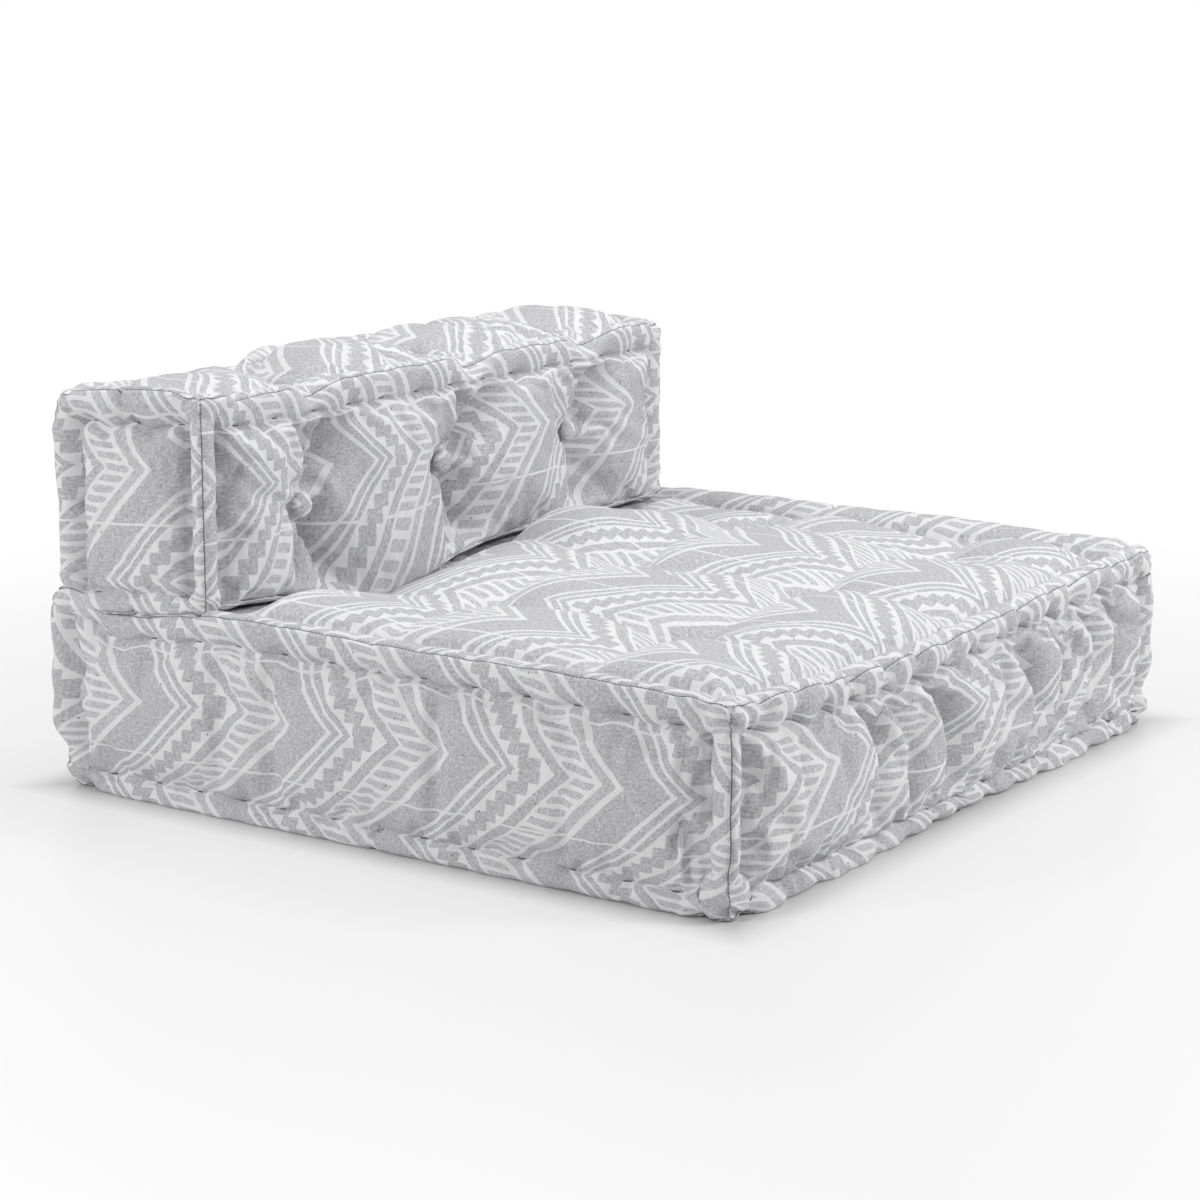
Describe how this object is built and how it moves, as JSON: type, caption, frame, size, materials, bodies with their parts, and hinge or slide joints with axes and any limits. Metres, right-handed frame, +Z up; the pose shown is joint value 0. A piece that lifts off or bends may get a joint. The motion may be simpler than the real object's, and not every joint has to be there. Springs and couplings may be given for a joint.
{
  "type": "sofa module",
  "caption": "Low floor-sofa module: a thick tufted seat mattress with rolled stitched edges, and a loose tufted bolster standing along its back.",
  "frame": {"origin": "on the floor, under the middle of the seat mattress", "axes": "+Z up; +Y towards the back, where the bolster stands; +X towards the end of the seat where the bolster stops short"},
  "size_m": [1.09, 1.0126, 0.5223],
  "materials": {
    "printed_canvas": "woven cotton canvas, printed in pale grey on off-white",
    "button_cloth": "the same canvas stretched over a button mould",
    "tuft_twine": "twisted natural twine",
    "stitch_thread": "grey sewing thread",
    "fibre_filling": "packed cotton fibre"
  },
  "bodies": {
    "seat": {"seat_filling": "fibre_filling", "seat_top_panel": "printed_canvas", "seat_bottom_panel": "printed_canvas", "seat_front_panel": "printed_canvas", "seat_back_panel": "printed_canvas", "seat_left_panel": "printed_canvas", "seat_right_panel": "printed_canvas", "seat_top_buttons": "button_cloth", "seat_bottom_buttons": "button_cloth", "seat_tuft_twines": "tuft_twine", "seat_upper_stitches": "stitch_thread", "seat_lower_stitches": "stitch_thread"},
    "bolster": {"bolster_filling": "fibre_filling", "bolster_top_panel": "printed_canvas", "bolster_bottom_panel": "printed_canvas", "bolster_front_panel": "printed_canvas", "bolster_back_panel": "printed_canvas", "bolster_left_panel": "printed_canvas", "bolster_right_panel": "printed_canvas", "bolster_front_buttons": "button_cloth", "bolster_back_buttons": "button_cloth", "bolster_tuft_twines": "tuft_twine", "bolster_upper_stitches": "stitch_thread", "bolster_lower_stitches": "stitch_thread"}
  },
  "joints": [
    {"name": "bolster_lift", "type": "slide", "parent": "seat", "child": "bolster", "axis": [0, 0, 1], "range_m": [0, 0.4]}
  ]
}
